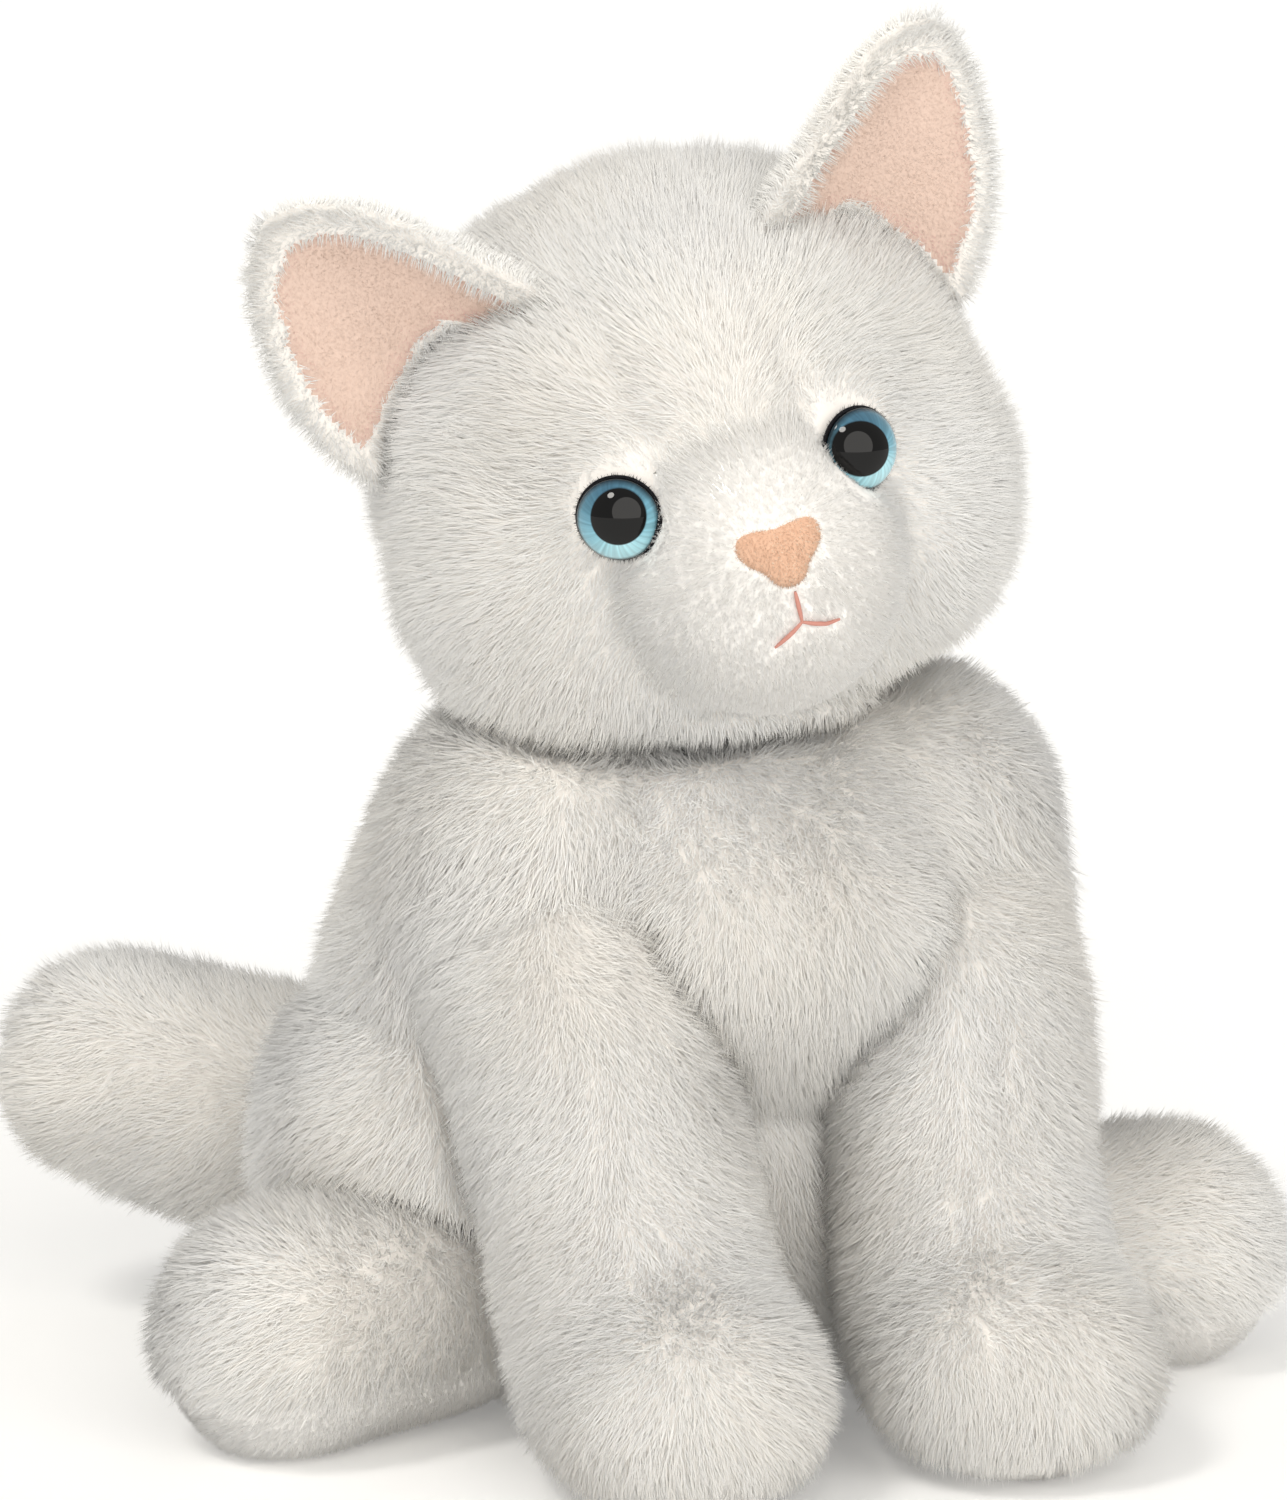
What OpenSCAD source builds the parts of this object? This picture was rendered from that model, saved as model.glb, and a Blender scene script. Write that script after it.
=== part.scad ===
// Sitting plush cat, life pose: front legs straight ahead, hind feet splayed, tail out to its right.
// Frame: +Z up, the cat faces -Y, its left side is +X, origin at the middle of the flat seat face.
// Every stuffed part is a shell of sewn pile fabric panels around its own stuffing.

/* [Fabric] */
// Thickness of the pile fabric, backing and pressed pile together
fabric_t = 3; // [2:0.5:4]
// Room left between parts that move on each other
joint_gap = 0.6; // [0.4:0.1:1]

/* [Head] */
// Middle of the head, over the seat
head_at = [-9, -8, 183]; // [-200:1:300]
// Turn of the head to the cat's right
head_turn = 8.5; // [0:1:20]
// Sideways tilt of the head, left ear up
head_tilt = 15.5; // [0:0.5:20]
// Nod of the head, chin down
head_nod = 6; // [0:1:10]
// Half width of the skull
head_rx = 55; // [52:1:58]

/* [Face] */
// Diameter of each eye's clear dome
eye_d = 15; // [12:0.5:16]
// Diameter of the black pupil
pupil_d = 10; // [8:0.5:11]
// Half the distance between the eyes
eye_x = 23.5; // [22:0.5:26]
// Radius of the muzzle bulge
muzzle_r = 26; // [24:0.5:28]
// Width of the nose patch
nose_w = 15; // [12:0.5:17]

/* [Ears] */
// Half width of the ear at its root
ear_w = 26; // [22:1:28]
// Height of the ear above its root
ear_h = 42; // [36:1:46]
// Radius of the ear's cupped back
ear_cup_r = 34; // [30:1:40]

/* [Body] */
// Half width of the torso at its waist
waist_rx = 68; // [60:1:70]
// Half width of each haunch
haunch_rx = 38; // [34:1:40]
// Height of each haunch's middle
haunch_z = 46; // [44:1:48]

/* [Legs and tail] */
// Radius of the front legs
front_leg_r = 23; // [21:0.5:24]
// Radius of the hind legs
hind_leg_r = 21; // [20:0.5:22]
// Radius of the tail
tail_r = 22.5; // [20:0.5:23]

/* [Hidden] */

fur = "white";
short_fur = "floralwhite";
pink = "mistyrose";
wadding = "gainsboro";
big = 400;                       // larger than the cat, for cutting
big_fn = 18;                     // facets round a big soft form
small_fn = 16;                   // and round one under 30 mm in radius

// Joints: where each moving part turns
neck_at = [-6, -4, 140];
neck_r = 16;
shoulder_at = [37, -12, 98];
hip_at = [56, -4, 23];
tail_at = [-12, 54, 34];
ear_at = [39, -7, 33];
ear_lean = 39;                   // of the ear away from the head's middle
ear_twist = 28;                  // of the ear's cup, opening outwards

// Travel of each joint, for the room that its neighbours leave
turn_stops = [-30, 0, 30];
nod_stops = [-6, 5];
front_leg_stops = [0, 6, 12];
hind_leg_stops = [-10, 2, 15];
tail_stops = [-60, -25, 10];
ear_stops = [-20, 0, 15];

// Soft forms: lists of [middle, radii], joined pair by pair
skull = [[0, 4, 5], [head_rx, 46, 47]];
forehead = [[0, -9, 10], [44, 40, 37]];
chin = [[0, -13, -23], [32, 30, 28]];
nape = [[0, 14, -12], [40, 36, 36]];
function cheek(side) = [[side * 28, -8, -14], [30, 34, 33]];
muzzle_at = [1.7, -42, -12.2];

torso_form = [
    [[0, 12, 23], [50, 46, 27]],
    [[0, 13, 52], [54, 49, 32]],
    [[-2, 15, 80], [waist_rx, 52, 32]],
    [[-1, 8, 106], [61, 49, 27]],
    [[-3, 3, 121], [49, 42, 23]]
];
shoulder_lobe = [[37, -8, 112], [27, 31, 26]];
chest_form = [
    [[0, 5, 64], [34, 36, 26]],
    [[0, -29, 96], [37, 30, 24]],
    [[0, -16, 113], [39, 29, 22]]
];
function haunch(side, a) = [[side * 44, 18, haunch_z], [haunch_rx, 42, 42]];
haunch_low = [[40, 12, 26], [34, 38, 25]];

front_leg_form = [
    [shoulder_at, [front_leg_r + 2.5, front_leg_r + 5, front_leg_r + 2]],
    [[36.5, -30, 77], [1, 1, 1] * (front_leg_r + 2)],
    [[34, -43, 48], [1, 1, 1] * front_leg_r],
    [[33, -57, 24], [front_leg_r + 1, front_leg_r + 1, 24.5]],
    [[32.5, -73, 19.5], [25.5, 23.5, 20.5]]
];
hind_leg_form = [
    [hip_at, [1, 1, 1] * hind_leg_r],
    [[78, -11, 22.5], [hind_leg_r, hind_leg_r + 0.5, 22]],
    [[90, -13, 21.5], [22, 24, 23]]
];
tail_form = [
    [tail_at, [1, 1, 1] * (tail_r - 1)],
    [[-34, 66, 36], [1, 1, 1] * tail_r],
    [[-57, 76, 40], [1, 1, 1] * (tail_r + 1)],
    [[-78, 83, 46], [1, 1, 1] * tail_r],
    [[-93, 88, 51], [1, 1, 1] * (tail_r - 2)]
];

// ---------- shared shapes ----------

// An ellipsoid, smaller by inset all round.
module blob(form, inset = 0)
    translate(form[0])
        scale([for (r = form[1]) r - inset])
            sphere(r = 1, $fn = form[1][0] > 30 ? big_fn : small_fn);

// Ellipsoids joined one to the next.
module chain(forms, inset = 0)
    for (i = [0 : len(forms) - 2])
        hull() {
            blob(forms[i], inset);
            blob(forms[i + 1], inset);
        }

// Everything above height z.
module above(z)
    translate([-big / 2, -big / 2, z])
        cube(big);

// A slab between two planes across X, Y and Z, given as its low and high corner.
module region(low, high)
    translate(low)
        cube(high - low);

// The right-hand copy of a left-hand part.
module on_side(side)
    mirror([side < 0 ? 1 : 0, 0, 0])
        children();

// ---------- places ----------

module head_frame()
    translate(head_at)
        rotate([0, 0, -head_turn])
            rotate([0, -head_tilt, 0])
                rotate([head_nod, 0, 0])
                    children();

// The left eye is sewn on a little lower than the right one.
function eye_at(side) = side > 0 ? [eye_x, -47.2, 4] : [1.2 - eye_x, -47.5, 5.2];

// An eye's own frame: +Z out of the face, Z = 0 on the fabric.
module eye_frame(side)
    translate(eye_at(side))
        rotate([90, 0, side * 21])
            rotate([-4, 0, 0])
                children();

// An ear's own frame: Z up the ear, -Y out of its cup, X along its root.
module ear_frame()
    translate(ear_at)
        rotate([0, ear_lean, 0])
            rotate([0, 0, ear_twist])
                children();

// ---------- outlines of the soft parts ----------

module head_form(inset = 0) {
    for (part = [forehead, nape, chin, cheek(1), cheek(-1)])
        hull() {
            blob(skull, inset);
            blob(part, inset);
        }
    for (part = [forehead, cheek(1), cheek(-1)])
        hull() {
            blob(chin, inset);
            blob(part, inset);
        }
}

module muzzle_form(inset = 0)
    blob([muzzle_at, [muzzle_r, muzzle_r, muzzle_r + 1.5]], inset);

module torso_core(inset = 0) {
    chain(torso_form, inset);
    chain(chest_form, inset);
    for (side = [-1, 1])
        on_side(side)
            hull() {
                blob(shoulder_lobe, inset);
                blob(torso_form[2], inset);
            }
}

module haunch_form(side, inset = 0)
    on_side(side)
        hull() {
            blob(haunch(1), inset);
            blob(haunch_low, inset);
        }

// The room that the head sweeps as it turns and nods.
module head_room()
    hull()
        for (turn = turn_stops, nod = nod_stops)
            translate(neck_at)
                rotate([0, 0, turn])
                    rotate([nod, 0, 0])
                        translate(-neck_at)
                            head_frame()
                                for (part = [chin, cheek(1), cheek(-1), nape,
                                             [muzzle_at, [1, 1, 1] * muzzle_r]])
                                    blob(part, -2 * joint_gap);

sweep_gap = 2;       // room round a swept limb, wider because its facets turn

// The leg at rest, and the fan that it sweeps as it swings out to the side.
module front_leg_room(side)
    on_side(side) {
        chain([for (i = [0 : 3]) front_leg_form[i]], -joint_gap);
        for (k = [0, 1, 2])
            hull()
                for (a = front_leg_stops, i = [k, k + 1])
                    translate(shoulder_at)
                        rotate([0, -a, 0])
                            translate(-shoulder_at)
                                blob(front_leg_form[i], -sweep_gap);
    }

module hind_leg_room(side)
    on_side(side)
        hull()
            for (a = hind_leg_stops, i = [0, len(hind_leg_form) - 1])
                translate(hip_at)
                    rotate([0, 0, -a])
                        translate(-hip_at)
                            blob(hind_leg_form[i], -joint_gap);

module tail_room()
    for (k = [0, 1])
        hull()
            for (a = [tail_stops[k], tail_stops[k + 1]], i = [0, 1, 2])
                translate(tail_at)
                    rotate([0, 0, a])
                        translate(-tail_at)
                            blob(tail_form[i], -sweep_gap);

module limb_rooms() {
    for (side = [-1, 1]) {
        front_leg_room(side);
        hind_leg_room(side);
    }
    tail_room();
}

// ---------- head ----------

module head_shell()
    head_frame()
        difference() {
            head_form();
            head_form(fabric_t);
            muzzle_form(-0.01);
            for (side = [-1, 1])
                eye_frame(side) {
                    translate([0, 0, -2])
                        cylinder(r = eye_d / 2 + 2.6, h = 12);
                    translate([0, 0, -7])
                        cylinder(r = 7.3, h = 3.1);
                    translate([0, 0, -20])
                        cylinder(r = 2.6, h = 30);
                }
            neck_socket();
        }

// The hole in the head's underside round the neck, in the head's own frame.
module neck_socket()
    rotate([-head_nod, 0, 0])
        rotate([0, head_tilt, 0])
            rotate([0, 0, head_turn])
                translate(neck_at - head_at)
                    sphere(r = neck_r + joint_gap, $fn = 24);

gusset_w = 14;                   // half width of the strip over the head's top
seam_z = -20;                    // height of the seam between the cheeks and the chin

module head_panel(low, high)
    intersection() {
        head_shell();
        head_frame()
            region(low, high);
    }

module head_side_left()
    color(fur) head_panel([gusset_w, -big, seam_z], [big, big, big]);

module head_side_right()
    color(fur) head_panel([-big, -big, seam_z], [-gusset_w, big, big]);

module head_gusset()
    color(fur) head_panel([-gusset_w, -big, seam_z], [gusset_w, big, big]);

module chin_panel()
    color(fur) head_panel([-big, -big, -big], [big, big, seam_z]);

module muzzle_panel()
    color(short_fur)
        head_frame()
            difference() {
                muzzle_form();
                muzzle_form(fabric_t);
                head_form(fabric_t);
                eye_rooms();
            }

module muzzle_stuffing()
    color(wadding)
        head_frame()
            difference() {
                muzzle_form(fabric_t);
                head_form(fabric_t);
                eye_rooms();
            }

module head_stuffing()
    color(wadding)
        head_frame()
            difference() {
                head_form(fabric_t);
                eye_rooms();
                neck_socket();
            }

// Half of the nose's outline: a rounded triangle with a lobe at each top corner.
module nose_outline() {
    r = nose_w * 0.2;
    hull() {
        for (side = [-1, 1])
            translate([side * (nose_w / 2 - r), 3.2])
                circle(r = r, $fn = 24);
        translate([0, -5.2])
            circle(r = 1.6, $fn = 24);
    }
}

nose_z = -4.4;                   // height of the nose's middle on the face

module nose_patch()
    color("burlywood")
        head_frame()
            difference() {
                intersection() {
                    translate([muzzle_at[0], -50, nose_z])
                        rotate([90, 0, 0])
                            linear_extrude(30)
                                nose_outline();
                    hull() muzzle_form(-2);
                }
                hull() muzzle_form();
            }

// A short straight stitch between two points.
module stitch(a, b, r) {
    run = b - a;
    translate(a)
        rotate([0, acos(run[2] / norm(run)), atan2(run[1], run[0])])
            cylinder(r = r, h = norm(run), $fn = 16);
    for (p = [a, b])
        translate(p)
            sphere(r = r * 1.02, $fn = 16);
}

// A point just off the muzzle, x to the side and z up from the nose's middle.
function on_muzzle(x, z, off) =
    let (rx = muzzle_r + off, rz = muzzle_r + 1.5 + off, h = nose_z + z - muzzle_at[2])
    [muzzle_at[0] + x, muzzle_at[1] - rx * sqrt(1 - pow(x / rx, 2) - pow(h / rz, 2)), nose_z + z];

mouth_corner = [5.4, -15.4];
mouth_top = [0, -7.5];
mouth_fork = [0, -13];

module mouth_stitches()
    color("rosybrown")
        head_frame() {
            off = 0.9;
            stitch(on_muzzle(mouth_top[0], mouth_top[1], off),
                   on_muzzle(mouth_fork[0], mouth_fork[1], off), 0.5);
            for (side = [-1, 1])
                stitch(on_muzzle(mouth_fork[0], mouth_fork[1], off),
                       on_muzzle(side * mouth_corner[0], mouth_corner[1], off), 0.5);
        }

// ---------- eyes ----------

dome_h = 5;                      // height of the clear dome
dome_z = 0.4;                    // of the dome's flat back
dome_r = (pow(eye_d / 2, 2) + pow(dome_h, 2)) / (2 * dome_h);

// The room that both eyes take in the soft parts, with their felt, stems and washers.
module eye_rooms()
    for (side = [-1, 1])
        eye_frame(side) {
            translate([0, 0, dome_z + dome_h - dome_r])
                sphere(r = dome_r + 0.4, $fn = 40);
            translate([0, 0, -2.2])
                cylinder(r = eye_d / 2 + 2.1, h = 3, $fn = 40);
            translate([0, 0, -20])
                cylinder(r = 2.6, h = 20, $fn = 20);
        }

module eye_lens(side)
    color("lightcyan")
        head_frame() eye_frame(side)
            intersection() {
                translate([0, 0, dome_z + dome_h - dome_r])
                    sphere(r = dome_r, $fn = 60);
                translate([0, 0, dome_z])
                    cylinder(r = eye_d, h = dome_h + 1, $fn = 60);
            }

module eye_iris(side)
    color("deepskyblue")
        head_frame() eye_frame(side)
            difference() {
                cylinder(r = eye_d / 2 - 0.1, h = dome_z, $fn = 60);
                translate([0, 0, -1])
                    cylinder(r = pupil_d / 2, h = 3, $fn = 60);
            }

module eye_pupil(side)
    color("black")
        head_frame() eye_frame(side)
            cylinder(r = pupil_d / 2, h = dome_z, $fn = 60);

module eye_stem(side)
    color("dimgray")
        head_frame() eye_frame(side)
            rotate_extrude($fn = 60)
                polygon([[0, 0], [eye_d / 2, 0], [eye_d / 2, -1], [2.4, -1], [2.4, -18], [0, -18]]);

module eye_washer(side)
    color("ivory")
        head_frame() eye_frame(side)
            translate([0, 0, -5.4])
                difference() {
                    cylinder(r = 7, h = 1.4, $fn = 60);
                    translate([0, 0, -1])
                        cylinder(r = 2.42, h = 4, $fn = 60);
                }

// Black felt round the eye, pointed towards the nose.
module eye_surround(side)
    color("black")
        head_frame() eye_frame(side)
            translate([0, 0, -1.95])
                difference() {
                    cylinder(r = eye_d / 2 + 1.6, h = 0.9, $fn = 60);
                    translate([0, 0, -1])
                        cylinder(r = 2.5, h = 4, $fn = 60);
                }

module eye_left_lens() eye_lens(1);
module eye_left_iris() eye_iris(1);
module eye_left_pupil() eye_pupil(1);
module eye_left_stem() eye_stem(1);
module eye_left_washer() eye_washer(1);
module eye_left_surround() eye_surround(1);
module eye_right_lens() eye_lens(-1);
module eye_right_iris() eye_iris(-1);
module eye_right_pupil() eye_pupil(-1);
module eye_right_stem() eye_stem(-1);
module eye_right_washer() eye_washer(-1);
module eye_right_surround() eye_surround(-1);

// ---------- ears ----------

// Half width of the ear at height z above its root.
function ear_half(z, w, h) = w * pow(1 - pow(max(z, 0) / h, 2), 0.6);

module ear_outline(w, h) {
    steps = 14;
    side = [for (i = [0 : steps - 1]) [ear_half(h * i / steps, w, h), h * i / steps]];
    polygon(concat([[w, -6]], side, [[0, h]],
                   [for (i = [steps - 1 : -1 : 0]) [-side[i][0], side[i][1]]], [[-w, -6]]));
}

// A cupped sheet of the ear between two radii of its cup.
module ear_sheet(side, outer, inner, w, h)
    head_frame()
        on_side(side)
            difference() {
                ear_frame()
                    intersection() {
                        translate([0, -ear_cup_r, -20])
                            difference() {
                                cylinder(r = outer, h = 80, $fn = 72);
                                translate([0, 0, -1])
                                    cylinder(r = inner, h = 82, $fn = 72);
                            }
                        rotate([90, 0, 0])
                            translate([0, 0, -8])
                                linear_extrude(30)
                                    ear_outline(w, h);
                    }
                ear_root_room();
            }

// The head as the ear meets it over its fold, so that neither cuts the other.
module ear_root_room()
    for (a = ear_stops)
        ear_frame()
            rotate([-a, 0, 0])
                ear_unframe()
                    head_form(-joint_gap);

module ear_unframe()
    rotate([0, 0, -ear_twist])
        rotate([0, -ear_lean, 0])
            translate(-ear_at)
                children();

module ear_back(side)
    color(fur) ear_sheet(side, ear_cup_r + fabric_t, ear_cup_r, ear_w, ear_h);

module ear_lining(side)
    color(pink) ear_sheet(side, ear_cup_r, ear_cup_r - 1.4, ear_w - 3, ear_h - 4);

module ear_left_back() ear_back(1);
module ear_left_lining() ear_lining(1);
module ear_right_back() ear_back(-1);
module ear_right_lining() ear_lining(-1);

// ---------- neck ----------

neck_stem_r = 12;
neck_stem_z = 118;               // how far the neck's plug reaches down into the torso

module neck_stuffing()
    color(wadding) {
        translate(neck_at)
            sphere(r = neck_r, $fn = 60);
        translate([neck_at[0], neck_at[1], neck_stem_z])
            cylinder(r = neck_stem_r, h = neck_at[2] - neck_stem_z, $fn = 60);
    }

module neck_hole() {
    translate(neck_at)
        sphere(r = neck_r + joint_gap, $fn = 28);
    translate([neck_at[0], neck_at[1], neck_stem_z - joint_gap])
        cylinder(r = neck_stem_r + joint_gap, h = 60, $fn = 28);
}

// ---------- torso ----------

seat_z = 9;                      // top edge of the seat panel
belly_z = 62;                    // seam between belly and chest
flank_y = -6;                    // seam between the front and the back panels
chest_w = 38;                    // half width of the chest panel
belly_w = 30;                    // and of the belly panel

module torso_shell()
    difference() {
        torso_core();
        intersection() {
            torso_core(fabric_t);
            above(fabric_t);
        }
        head_room();
        limb_rooms();
        neck_hole();
    }

module torso_panel(low, high)
    intersection() {
        torso_shell();
        region(low, high);
    }

chest_low = [-chest_w, -big, belly_z];
chest_high = [chest_w, flank_y, big];
belly_low = [-belly_w, -big, seat_z];
belly_high = [belly_w, flank_y, belly_z];

module chest_panel()
    color(fur) torso_panel(chest_low, chest_high);

module belly_panel()
    color(fur) torso_panel(belly_low, belly_high);

module back_panel(low, high)
    color(fur)
        difference() {
            torso_panel(low, high);
            region(chest_low, chest_high);
            region(belly_low, belly_high);
        }

module back_left_panel() back_panel([0, -big, seat_z], [big, big, big]);
module back_right_panel() back_panel([-big, -big, seat_z], [0, big, big]);

module seat_panel()
    color(fur) torso_panel([-big, -big, 0], [big, big, seat_z]);

module haunch_panel(side)
    color(fur)
        difference() {
            intersection() {
                haunch_form(side);
                above(0);
            }
            haunch_form(side, fabric_t);
            torso_core();
            limb_rooms();
        }

module haunch_stuffing(side)
    color(wadding)
        difference() {
            haunch_form(side, fabric_t);
            torso_core();
            limb_rooms();
        }

module haunch_left_panel() haunch_panel(1);
module haunch_right_panel() haunch_panel(-1);
module haunch_left_stuffing() haunch_stuffing(1);
module haunch_right_stuffing() haunch_stuffing(-1);

pouch_at = [0, 14, 13];
pouch_r = [27, 25, 15];

module torso_stuffing()
    color(wadding)
        difference() {
            intersection() {
                torso_core(fabric_t);
                above(fabric_t);
            }
            head_room();
            limb_rooms();
            neck_hole();
            pouch_form();
        }

// The bag of pellets lies on the seat panel; inset is its cloth's thickness.
module pouch_form(inset = 0)
    intersection() {
        hull() blob([pouch_at, pouch_r], inset);
        above(fabric_t + inset);
    }

module pellet_pouch()
    color("wheat")
        difference() {
            pouch_form();
            pouch_form(1);
        }

module pellets()
    color("linen") pouch_form(1);

// ---------- front legs ----------

module front_leg_shell()
    difference() {
        intersection() {
            chain(front_leg_form);
            above(0);
        }
        intersection() {
            chain(front_leg_form, fabric_t);
            above(fabric_t);
        }
    }

paw_sole_z = 7;                  // top edge of the paw's sole

module front_leg_part(side, low, high)
    color(fur)
        on_side(side)
            intersection() {
                front_leg_shell();
                region(low, high);
            }

module front_leg_outer(side)
    front_leg_part(side, [shoulder_at[0] - 2, -big, paw_sole_z], [big, big, big]);

module front_leg_inner(side)
    front_leg_part(side, [-big, -big, paw_sole_z], [shoulder_at[0] - 2, big, big]);

module front_leg_sole(side)
    color(short_fur)
        front_leg_part(side, [-big, -big, 0], [big, big, paw_sole_z]);

module front_leg_stuffing(side)
    color(wadding)
        on_side(side)
            intersection() {
                chain(front_leg_form, fabric_t);
                above(fabric_t);
            }

module front_leg_left_outer() front_leg_outer(1);
module front_leg_left_inner() front_leg_inner(1);
module front_leg_left_sole() front_leg_sole(1);
module front_leg_left_stuffing() front_leg_stuffing(1);
module front_leg_right_outer() front_leg_outer(-1);
module front_leg_right_inner() front_leg_inner(-1);
module front_leg_right_sole() front_leg_sole(-1);
module front_leg_right_stuffing() front_leg_stuffing(-1);

// ---------- hind legs ----------

module hind_leg_shell()
    difference() {
        intersection() {
            chain(hind_leg_form);
            above(0);
        }
        intersection() {
            chain(hind_leg_form, fabric_t);
            above(fabric_t);
        }
    }

hind_seam_z = 14;                // seam between the upper panel and the sole side

module hind_leg_part(side, low, high)
    color(fur)
        on_side(side)
            intersection() {
                hind_leg_shell();
                region(low, high);
            }

module hind_leg_upper(side)
    hind_leg_part(side, [-big, -big, hind_seam_z], [big, big, big]);

module hind_leg_lower(side)
    hind_leg_part(side, [-big, -big, 0], [big, big, hind_seam_z]);

module hind_leg_stuffing(side)
    color(wadding)
        on_side(side)
            intersection() {
                chain(hind_leg_form, fabric_t);
                above(fabric_t);
            }

module hind_leg_left_upper() hind_leg_upper(1);
module hind_leg_left_lower() hind_leg_lower(1);
module hind_leg_left_stuffing() hind_leg_stuffing(1);
module hind_leg_right_upper() hind_leg_upper(-1);
module hind_leg_right_lower() hind_leg_lower(-1);
module hind_leg_right_stuffing() hind_leg_stuffing(-1);

// ---------- tail ----------

// Everything above the tail's seam, which rises with it.
module tail_seam_side()
    translate(tail_at)
        rotate([0, 13, 0])
            translate([-big / 2, -big / 2, 0])
                cube(big);

module tail_upper()
    color(fur)
        intersection() {
            difference() {
                chain(tail_form);
                chain(tail_form, fabric_t);
            }
            tail_seam_side();
        }

module tail_lower()
    color(fur)
        difference() {
            chain(tail_form);
            chain(tail_form, fabric_t);
            tail_seam_side();
        }

module tail_stuffing()
    color(wadding) chain(tail_form, fabric_t);

head_side_left();
head_side_right();
head_gusset();
chin_panel();
muzzle_panel();
head_stuffing();
muzzle_stuffing();
nose_patch();
mouth_stitches();
eye_left_lens();
eye_left_iris();
eye_left_pupil();
eye_left_stem();
eye_left_washer();
eye_left_surround();
eye_right_lens();
eye_right_iris();
eye_right_pupil();
eye_right_stem();
eye_right_washer();
eye_right_surround();
ear_left_back();
ear_left_lining();
ear_right_back();
ear_right_lining();
neck_stuffing();
chest_panel();
belly_panel();
back_left_panel();
back_right_panel();
haunch_left_panel();
haunch_right_panel();
seat_panel();
torso_stuffing();
haunch_left_stuffing();
haunch_right_stuffing();
pellet_pouch();
pellets();
front_leg_left_outer();
front_leg_left_inner();
front_leg_left_sole();
front_leg_left_stuffing();
front_leg_right_outer();
front_leg_right_inner();
front_leg_right_sole();
front_leg_right_stuffing();
hind_leg_left_upper();
hind_leg_left_lower();
hind_leg_left_stuffing();
hind_leg_right_upper();
hind_leg_right_lower();
hind_leg_right_stuffing();
tail_upper();
tail_lower();
tail_stuffing();
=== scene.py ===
"""The looks of a sitting plush cat: stuffed forms puffed out by cloth simulation, the pile that grows
on each sewn panel, domed eyes, a velour nose, a stitched mouth and velour ear linings.
Lengths are in metres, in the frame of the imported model: +Z up, the cat faces -Y, its left side is +X."""
import math

import bpy
import bmesh
import numpy as np
from mathutils import Matrix, Vector, kdtree
from mathutils.bvhtree import BVHTree


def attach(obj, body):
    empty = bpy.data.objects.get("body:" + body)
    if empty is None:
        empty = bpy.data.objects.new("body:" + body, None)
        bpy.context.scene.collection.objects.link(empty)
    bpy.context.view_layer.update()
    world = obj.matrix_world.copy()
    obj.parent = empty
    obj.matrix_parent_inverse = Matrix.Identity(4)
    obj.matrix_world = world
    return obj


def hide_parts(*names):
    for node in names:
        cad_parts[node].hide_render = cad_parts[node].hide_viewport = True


MM = 0.001
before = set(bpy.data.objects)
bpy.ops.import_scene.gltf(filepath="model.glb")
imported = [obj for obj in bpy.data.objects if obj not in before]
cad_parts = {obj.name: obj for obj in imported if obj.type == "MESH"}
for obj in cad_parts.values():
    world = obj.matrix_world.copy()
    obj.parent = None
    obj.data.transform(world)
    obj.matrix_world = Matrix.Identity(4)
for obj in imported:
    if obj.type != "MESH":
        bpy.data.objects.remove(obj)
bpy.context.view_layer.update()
scene = bpy.context.scene
DOWN = np.array([0.0, 0.0, -1.0])


# ---------- camera ----------

CAMERA_AIM = Vector((-15.2, -5.5, 125.7)) * MM
CAMERA_AZIMUTH = math.radians(-20.5)
CAMERA_ELEVATION = math.radians(10.5)
CAMERA_DISTANCE = 1.25
CAMERA_LENS = 160


def make_camera():
    """Stands at the viewing angle and looks straight at the middle of the view."""
    data = bpy.data.cameras.new("camera")
    data.lens = CAMERA_LENS
    data.sensor_width = 36
    data.clip_start = 0.05
    camera = bpy.data.objects.new("camera", data)
    scene.collection.objects.link(camera)
    back = Vector((math.sin(CAMERA_AZIMUTH) * math.cos(CAMERA_ELEVATION),
                   -math.cos(CAMERA_AZIMUTH) * math.cos(CAMERA_ELEVATION),
                   math.sin(CAMERA_ELEVATION)))
    camera.location = CAMERA_AIM + back * CAMERA_DISTANCE
    camera.rotation_euler = (-back).to_track_quat("-Z", "Y").to_euler()
    scene.camera = camera


make_camera()


# ---------- the head's own frame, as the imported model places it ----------

HEAD_AT = Vector((-9, -8, 183)) * MM
HEAD_TURN, HEAD_TILT, HEAD_NOD = (math.radians(a) for a in (8.5, 15.5, 6))
HEAD = (Matrix.Translation(HEAD_AT) @ Matrix.Rotation(-HEAD_TURN, 4, "Z")
        @ Matrix.Rotation(-HEAD_TILT, 4, "Y") @ Matrix.Rotation(HEAD_NOD, 4, "X"))
MUZZLE_AT = Vector((1.7, -42, -12.2)) * MM
MUZZLE_R = 26 * MM
NOSE_Z = -4.4 * MM
EYE_AT = {1: Vector((23.5, -47.2, 4)) * MM, -1: Vector((-22.3, -47.5, 5.2)) * MM}
EAR_AT = Vector((39, -7, 33)) * MM
EAR_LEAN, EAR_TWIST = math.radians(39), math.radians(28)


def eye_frame(side):
    """An eye's frame: +Z out of the face, Z = 0 on the fabric."""
    return (HEAD @ Matrix.Translation(EYE_AT[side])
            @ Matrix.Rotation(math.radians(side * 21), 4, "Z")
            @ Matrix.Rotation(math.radians(90), 4, "X") @ Matrix.Rotation(math.radians(-4), 4, "X"))


def ear_frame(side):
    """An ear's frame: +Z up the ear, -Y out of its cup."""
    mirror = Matrix.Diagonal((side, 1, 1, 1))
    return (HEAD @ mirror @ Matrix.Translation(EAR_AT)
            @ Matrix.Rotation(EAR_LEAN, 4, "Y") @ Matrix.Rotation(EAR_TWIST, 4, "Z"))


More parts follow.
